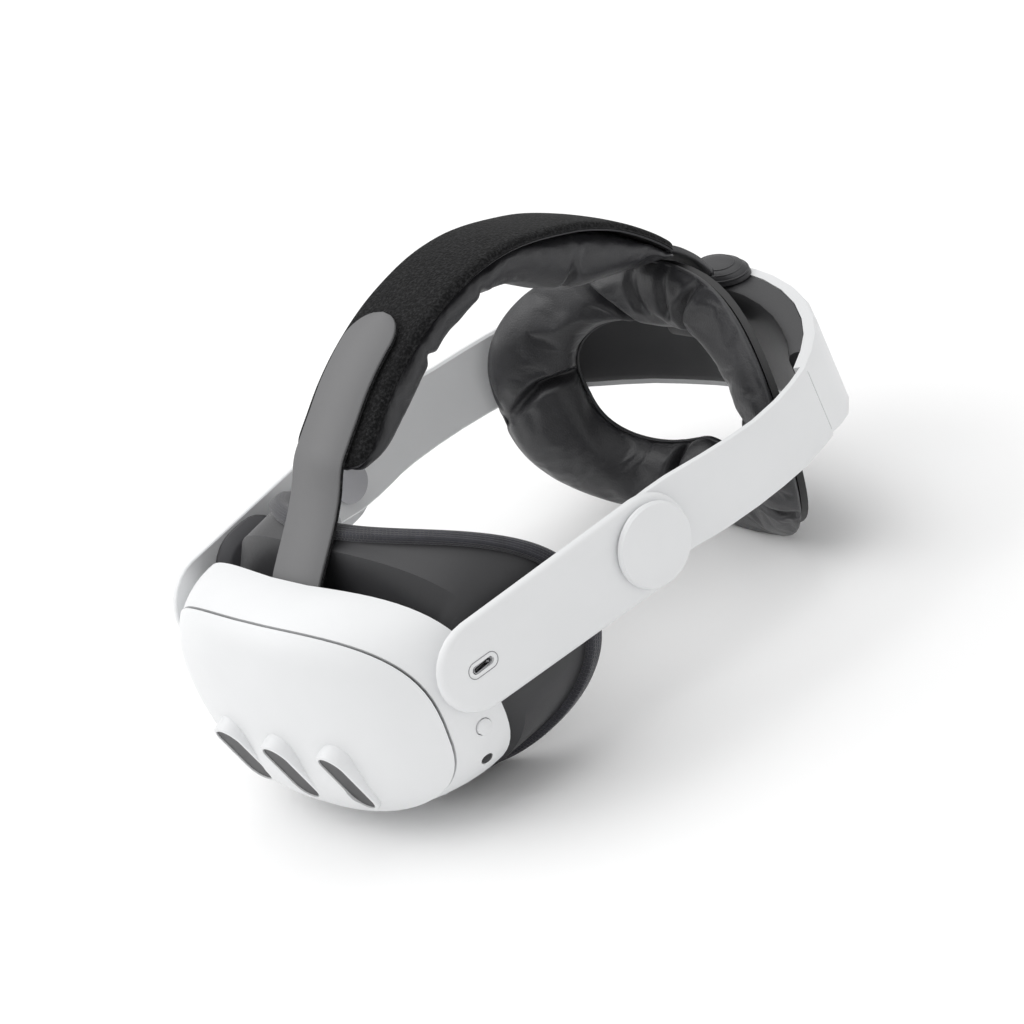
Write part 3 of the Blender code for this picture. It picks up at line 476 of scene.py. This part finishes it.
# The pale shade is the painted highlight on stitch tops, the deep one the painted shade between stitches.
knit = knitted("rib_knit_polyester", "#44444c", "#222227", 1.1, 0.35)
rim_loop = between(FACE_RIM, 30, closed=True)
rows = [[face_point(math.tau * (i + 0.5) / FACE_STEPS, grow, back) for grow, back in rim_loop]
        for i in range(FACE_STEPS)]
rim = lofted("face_cushion_knit", rows, knit, closed=True)
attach(rim, "interface")
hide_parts("face_cushion")


# Back cushion: two soft rolls of leatherette sewn to a ring-shaped plate, gathered at tacked creases.
# Polyurethane leather over foam: near-black with a fine pebble grain and broad soft highlights.
def leatherette(name, pale, deep, roughness, grain_mm, depth_mm):
    made, tree, shader = finish_of(name, roughness, IOR=1.5, Coat_Weight=0.12, Coat_Roughness=0.35)
    coords = add(tree, "ShaderNodeTexCoord")
    pebble = add(tree, "ShaderNodeTexVoronoi", {"Vector": (coords, "Object"), "Scale": 1000 / grain_mm},
                 feature="DISTANCE_TO_EDGE")
    crown = add(tree, "ShaderNodeMapRange", {"Value": (pebble, "Distance"), "From Max": 0.25})
    cloud = add(tree, "ShaderNodeTexNoise", {"Vector": (coords, "Object"), "Scale": 60.0, "Detail": 3.0})
    worn_smooth = add(tree, "ShaderNodeMapRange", {"Value": (cloud, "Fac"), "From Min": 0.3, "From Max": 0.7,
                                                   "To Min": roughness - 0.05, "To Max": roughness + 0.05})
    bump = add(tree, "ShaderNodeBump", {"Height": (crown, "Result"), "Strength": 0.55,
                                        "Distance": depth_mm / 1000})
    wire(tree, shader, mixed(tree, (cloud, "Fac"), deep, pale), worn_smooth, bump)
    return made


SWELL_FRAMES = 20


def swell(piece, held, most):
    """Blow a sewn cushion up as cloth from its held points. No point moves more than most millimetres."""
    select_only(piece)
    group = piece.vertex_groups.new(name="sewn")
    for index, weight in held:
        group.add([index], weight, "REPLACE")
    before = [vert.co.copy() for vert in piece.data.vertices]
    cloth = piece.modifiers.new("cloth", "CLOTH")
    cloth.settings.quality = 5
    cloth.settings.mass = 0.02
    cloth.settings.tension_stiffness = cloth.settings.compression_stiffness = 12
    cloth.settings.shear_stiffness = 4
    cloth.settings.bending_stiffness = 0.2
    cloth.settings.shrink_min = -0.015
    cloth.settings.use_pressure = True
    cloth.settings.uniform_pressure_force = 4
    cloth.settings.effector_weights.gravity = 0
    cloth.settings.vertex_group_mass = "sewn"
    cloth.point_cache.frame_start, cloth.point_cache.frame_end = 1, SWELL_FRAMES
    for step in range(1, SWELL_FRAMES + 1):
        bpy.context.scene.frame_set(step)
    bpy.ops.object.modifier_apply(modifier="cloth")
    bpy.context.scene.frame_set(1)
    for vert, start in zip(piece.data.vertices, before):
        move = vert.co - start
        if move.length > most / 1000:
            vert.co = start + move * (most / 1000 / move.length)


def refined(piece, levels=1):
    select_only(piece)
    fine = piece.modifiers.new("refined", "SUBSURF")
    fine.levels = fine.render_levels = levels
    bpy.ops.object.modifier_apply(modifier="refined")


def rest_on_floor(piece):
    """Flatten what would sink into the surface that the headset stands on."""
    for vert in piece.data.vertices:
        vert.co.z = max(vert.co.z, 0.0003)


def tube(name, path, radius, material, closed=False, sides=8):
    """A thin round cord along a path of wearer millimetres."""
    points = [Vector(point) for point in path]
    many = len(points)
    rows, side = [], None
    for i, point in enumerate(points):
        after = points[(i + 1) % many] if closed or i < many - 1 else point
        before = points[i - 1] if closed or i else point
        heading = (after - before).normalized()
        if side is None:
            side = heading.orthogonal()
        side = (side - heading * side.dot(heading)).normalized()
        other = heading.cross(side)
        turns = [math.tau * j / sides for j in range(sides)]
        rows.append([tuple(point + (side * math.cos(turn) + other * math.sin(turn)) * radius)
                     for turn in turns])
    return lofted(name, rows, material, closed=closed)


# The cushion's half width and its heights above and below the middle, how square each half of its oval
# is, its taper and its middle's height. Then the roll's width at the top, bottom and sides, and its depth.
RING_HALF, RING_N, RING_TAPER, RING_Z = (79.0, 58.0, 51.0), (2.6, 2.3), 0.06, -24.0
RING_WIDTH, RING_DEPTH, RING_STEPS = (27.0, 31.4, 29.6), 14.0, 300
RING_ROLL = ((0.03, 0.02), (-0.01, 0.32), (0.08, 0.66), (0.28, 0.91), (0.54, 1.0), (0.8, 0.88), (0.98, 0.55),
             (1.0, 0.25), (0.93, 0.02))
# Creases: angle at the outer edge and at the hole, where each starts and ends across the width, strength.
RING_CREASES = ((120.5, 114.0, 0.0, 1.0, 1.0), (95.0, 95.0, 0.0, 0.5, 0.55), (77.5, 74.0, 0.0, 0.5, 0.6),
                (62.0, 58.0, 0.0, 1.0, 0.9), (178.0, 164.0, 0.0, 1.0, 1.0), (246.0, 246.0, 0.35, 1.0, 1.0),
                (293.0, 293.0, 0.35, 1.0, 0.8), (343.0, 326.0, 0.0, 1.0, 1.0), (5.0, 15.0, 0.0, 1.0, 0.8))


def ring_point(angle, inset, forward):
    """A place on the back cushion: inset is a share of the roll's width, forward is towards the head."""
    upper = math.sin(angle) > 0
    x, z = rounded(angle, RING_HALF[0], RING_HALF[1 if upper else 2], RING_N[0 if upper else 1])
    x *= 1 + RING_TAPER * z / 50
    rise = abs(math.sin(angle))
    width = RING_WIDTH[0 if upper else 1] * rise + RING_WIDTH[2] * (1 - rise)
    share = 1 - width * inset / math.hypot(x, z)
    x, z = x * share, z * share + RING_Z
    toward = Vector((-0.011 * x, -1.0, 0.08 - 0.004 * z)).normalized()
    return Vector((x, 239 + 0.08 * z - 0.002 * z * z - 0.0055 * x * x, z)) + toward * forward


def pinch_at(point, inset):
    """How deep the nearest crease bites here, from 0 to 1, and how far away it is in millimetres."""
    angle = math.degrees(math.atan2(point.z - RING_Z, point.x))
    reach = math.hypot(point.x, point.z - RING_Z)
    bite, near = 0.0, 99.0
    for outer, inner, start, end, strength in RING_CREASES:
        line = outer + (inner - outer) * inset + 2.0 * math.sin(inset * 5 + outer)
        off = (angle - line + 180) % 360 - 180
        away = abs(math.radians(off)) * reach
        begun = min(1.0, max(0.0, (inset - start) / 0.15 + 1))
        left = min(1.0, max(0.0, (end - inset) / 0.15 + 1))
        fade = strength * begun * left
        near = min(near, away / max(fade, 0.05))
        bite = max(bite, fade * math.exp(-(away / 2.1) ** 2))
    return bite, near


black_leather = leatherette("polyurethane_leather", "#333336", "#262628", 0.42, 1.1, 0.09)
ring_loop = between(RING_ROLL, 34, closed=True)
rows, held = [], []
for i in range(RING_STEPS):
    angle = math.tau * (i + 0.5) / RING_STEPS
    row = []
    for j, (inset, forward) in enumerate(ring_loop):
        flat = ring_point(angle, inset, 0.0)
        bite, near = pinch_at(flat, inset)
        ripple = math.exp(-near / 6) * 0.32 * math.sin(inset * 26 + 5 * noise.noise(flat * 0.05))
        lumps = 0.5 * noise.noise(flat * 0.045)
        depth = max(forward, 0.02) * RING_DEPTH
        front = min(1.0, max(0.0, (forward - 0.1) / 0.4))
        depth = depth * (1 - 0.52 * bite) + (ripple + lumps) * front * (1 - bite)
        tuck = 0.035 * bite * (1 if inset < 0.5 else -1)
        row.append(tuple(ring_point(angle, inset + tuck, max(depth, 0.3))))
        if forward < 0.12 or bite > 0.8:
            held.append((i * len(ring_loop) + j, 1.0))
        elif bite > 0.2:
            held.append((i * len(ring_loop) + j, bite))
    rows.append(row)
ring = lofted("back_cushion_rolls", rows, black_leather, closed=True)
swell(ring, held, 1.6)
refined(ring)
rest_on_floor(ring)
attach(ring, "housing")
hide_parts("ring_cushion")

cord_black = leatherette("corded_piping", "#303033", "#262628", 0.5, 0.7, 0.05)
for name, inset, forward, radius, count in (("back_cushion_outer_piping", -0.018, 2.0, 0.7, 240),
                                            ("back_cushion_hole_piping", 1.012, 3.4, 0.6, 200)):
    path = [ring_point(math.tau * (i + 0.5) / count, inset, forward) for i in range(count)]
    piping = tube(name, path, radius, cord_black, closed=True)
    rest_on_floor(piping)
    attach(piping, "housing")


# Crown pad: a long leatherette cushion tacked at three creases under a loop-fabric cover, bound at its edge.
# Brushed nylon loop over foam: a matt black nap with pale fibre ends, for a hook-backed strap to hold.
def looped_nylon():
    made, tree, shader = finish_of("looped_nylon", 0.95, Specular_IOR_Level=0.12, Sheen_Weight=0.04,
                                   Sheen_Roughness=0.6)
    coords = add(tree, "ShaderNodeTexCoord")
    # Real loops are under half a millimetre: drawn at 0.8 mm, so that they show.
    loops = add(tree, "ShaderNodeTexVoronoi", {"Vector": (coords, "Object"), "Scale": 1000 / 0.8})
    flecks = add(tree, "ShaderNodeTexNoise", {"Vector": (coords, "Object"), "Scale": 1000 / 1.1,
                                              "Detail": 4.0, "Roughness": 0.7})
    chosen = add(tree, "ShaderNodeMapRange", {"Value": (flecks, "Fac"), "From Min": 0.45, "From Max": 0.75})
    bump = add(tree, "ShaderNodeBump", {"Height": (loops, "Distance"), "Strength": 0.8, "Distance": 0.0003})
    wire(tree, shader, mixed(tree, (chosen, "Result"), "#0f0f10", "#363637"), bump=bump)
    return made


# The pad's top line from front to rear as (Y, Z), how deep it is along that line, its half width, the
# room that its cover takes and where its creases are, by distance along it.
PAD_PATH = (
    (69.0, 63.4), (76.0, 68.6), (82.0, 72.7), (92.5, 79.6), (105.0, 85.8), (120.0, 91.0), (134.0, 93.8),
    (150.0, 95.0), (165.0, 93.5), (178.0, 89.9), (192.0, 84.0), (203.0, 78.4), (214.0, 71.0), (222.0, 64.0),
    (230.4, 54.9), (236.4, 47.0), (240.0, 41.6),
)
PAD_DEEP = (4.0, 10.5, 13.0, 14.0, 13.5, 13.0, 13.0, 12.5, 12.0, 13.5, 17.5, 21.5, 22.0, 20.0, 15.5, 9.0, 4.0)
PAD_HALF, PAD_COVER = 19.0, 3.4
PAD_CREASES = (52.0, 89.0, 140.0)
PAD_STEPS, PAD_SIDES = 110, 44
PATH_FINE = 600


def swept(path, count):
    """Evenly spread places along a smooth side-view path: distance along, point, unit normal outwards."""
    fine = [Vector(point) for point in between(path, PATH_FINE)]
    reach = [0.0]
    for a, b in zip(fine, fine[1:]):
        reach.append(reach[-1] + (b - a).length)
    made, k = [], 0
    for i in range(count):
        goal = reach[-1] * i / (count - 1)
        while k < len(fine) - 2 and reach[k + 1] < goal:
            k += 1
        t = (goal - reach[k]) / (reach[k + 1] - reach[k])
        heading = (fine[min(k + 3, PATH_FINE - 1)] - fine[max(k - 2, 0)]).normalized()
        made.append((goal, fine[k].lerp(fine[k + 1], t), Vector((-heading.y, heading.x))))
    return made


def beside(place, x, height):
    """A point at x across the strip and at a height above its path."""
    _, point, normal = place
    return (x, point.x + normal.x * height, point.y + normal.y * height)


places = swept(PAD_PATH, PAD_STEPS)
length = places[-1][0]
deep_at = between([(deep,) for deep in PAD_DEEP], PAD_STEPS)
rows, held = [], []
for i, (place, (deep,)) in enumerate(zip(places, deep_at)):
    run = place[0]
    ends = min(run, length - run)
    taper = math.sqrt(max(0.0, 1 - (1 - min(1.0, ends / 9)) ** 2)) * 0.97 + 0.03
    row = []
    for j in range(PAD_SIDES):
        x, h = rounded(math.tau * (j + 0.5) / PAD_SIDES, 1.0, 0.5, 2.7)
        bow = 1.6 * math.sin(3 * x)
        bite = max(math.exp(-((run - crease - bow) / 2.0) ** 2) for crease in PAD_CREASES)
        near = min(abs(run - crease - bow) for crease in PAD_CREASES)
        below = 0.5 - h
        thick = (deep - 0.4) * taper * (1 - 0.24 * bite)
        spot = Vector(beside(place, 18.0 * x, 0.0))
        gathers = 0.5 * math.exp(-near / 9) * math.sin(x * 11 + run * 0.1)
        soft = (0.6 * noise.noise(spot * 0.05) + gathers) * below
        wide = (PAD_HALF - 0.7) * (0.9 + 0.1 * taper) * (1 - 0.045 * bite * below)
        row.append(beside(place, wide * x, -PAD_COVER - 0.4 - below * thick - soft * (1 - bite) * taper))
        if below < 0.12 or bite > 0.8 or i in (0, PAD_STEPS - 1):
            held.append((i * PAD_SIDES + j, 1.0))
        elif bite > 0.2:
            held.append((i * PAD_SIDES + j, bite))
    rows.append(row)
pad = lofted("crown_pad_cushion", rows, black_leather)
swell(pad, held, 1.4)
refined(pad)
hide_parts("top_pad_cushion")

loop_nylon = looped_nylon()


def cover_half(run, corner=9.0):
    """Half width of the cover: its corners are rounded at both ends."""
    ends = min(corner, run, length - run)
    return PAD_HALF - 0.3 - (corner - math.sqrt(max(0.0, corner ** 2 - (corner - ends) ** 2)))


cover_section = ((-1.0, -3.3), (0.0, -3.3), (1.0, -3.3), (1.02, -2.4), (1.0, -1.3), (0.94, -0.5),
                 (0.8, -0.1), (0.4, 0.3), (0.0, 0.4), (-0.4, 0.3), (-0.8, -0.1), (-0.94, -0.5),
                 (-1.0, -1.3), (-1.02, -2.4))
cover_loop = between(cover_section, 42, closed=True)
rows = []
for place in places:
    slim = 0.6 + 0.4 * min(1, min(place[0], length - place[0]) / 4)
    rows.append([beside(place, cover_half(place[0]) * x, min(h, 0.4) * slim) for x, h in cover_loop])
cover = lofted("crown_pad_cover", rows, loop_nylon)
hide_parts("top_pad_cover")

binding_path = [beside(place, cover_half(place[0]) + 0.25, -3.3) for place in reversed(places)]
binding_path += [beside(places[0], x, -3.3) for x in (6.0, 3.0, 0.0, -3.0, -6.0)]
binding_path += [beside(place, -cover_half(place[0]) - 0.25, -3.3) for place in places]
binding_tape = leatherette("binding_tape", "#47474a", "#3b3b3e", 0.6, 0.8, 0.04)
binding = tube("crown_pad_binding", binding_path, 0.55, binding_tape)
for piece in (pad, cover, binding):
    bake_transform(piece)

# Tab that ties the pad's rear end down to the housing, and the dome that covers its screw. The tab starts
# inside the pad, where it is sewn in.
# Leatherette-covered strap, and a charcoal dome with three moulded ribs.
ANCHOR_PATH = (
    (233.5, 49.6), (239.6, 42.6), (244.4, 37.9), (247.4, 34.3), (250.6, 29.8), (253.4, 24.6), (255.4, 19.6),
)
tab_loop = between(((-1.0, -3.2), (0.0, -3.3), (1.0, -3.2), (1.0, -0.7), (0.85, -0.2), (0.0, 0.0),
                    (-0.85, -0.2), (-1.0, -0.7)), 32, closed=True)
rows = [[beside(place, 11.0 * x, min(0.0, h)) for x, h in tab_loop] for place in swept(ANCHOR_PATH, 24)]
tab = lofted("pad_anchor_tab", rows, black_leather)
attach(tab, "housing")
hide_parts("top_anchor")

for wide, deep, level in ((14.2, 8.1, 11.2), (12.0, 6.9, 13.0), (9.0, 5.1, 14.5)):
    turns = [math.tau * k / 64 for k in range(64)]
    oval = [(wide * math.cos(turn), 265.4 + deep * math.sin(turn), level) for turn in turns]
    rib = tube(f"anchor_rib_{int(wide)}", oval, 0.45, dark, closed=True)
    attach(rib, "housing")


# Front strap: a grey leatherette tongue with a round end, backed with black hook tape, from visor to pad.
# Coated microfibre bonded to nylon tape: a smooth mid grey face with a thin black edge all round.
STRAP_PATH = (
    (35.8, 27.4), (36.6, 30.2), (38.4, 33.2), (43.5, 38.0), (49.6, 43.4), (56.0, 49.3), (62.0, 56.0),
    (68.0, 64.2), (74.6, 69.2), (82.0, 74.2), (92.2, 81.0), (104.8, 87.2), (119.8, 92.4),
)
STRAP_HALF, STRAP_STEPS = 12.9, 120


def tongue(name, grow, low, high, material):
    """One layer of the strap, between two heights above its path, with a half-round rear end."""
    along = swept(STRAP_PATH, STRAP_STEPS)
    whole = along[-1][0]
    rows = []
    for run, point, normal in along:
        left = whole - run
        half = STRAP_HALF + grow
        if left < half:
            half = math.sqrt(max(0.04, half ** 2 - (half - left) ** 2))
        loop = ((-1.0, low), (0.0, low), (1.0, low), (1.0, high - 0.25), (0.985, high), (0.0, high + 0.05),
                (-0.985, high), (-1.0, high - 0.25))
        rows.append([beside((run, point, normal), half * x, h) for x, h in loop])
    return lofted(name, rows, material)


grey_leather = leatherette("grey_microfibre", "#727273", "#6a6a6b", 0.66, 0.7, 0.03)
face_layer = tongue("front_strap_face", 0.0, 0.55, 1.7, grey_leather)
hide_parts("front_strap")
backing = tongue("front_strap_backing", 0.6, 0.0, 0.5, loop_nylon)
for piece in (face_layer, backing):
    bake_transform(piece)
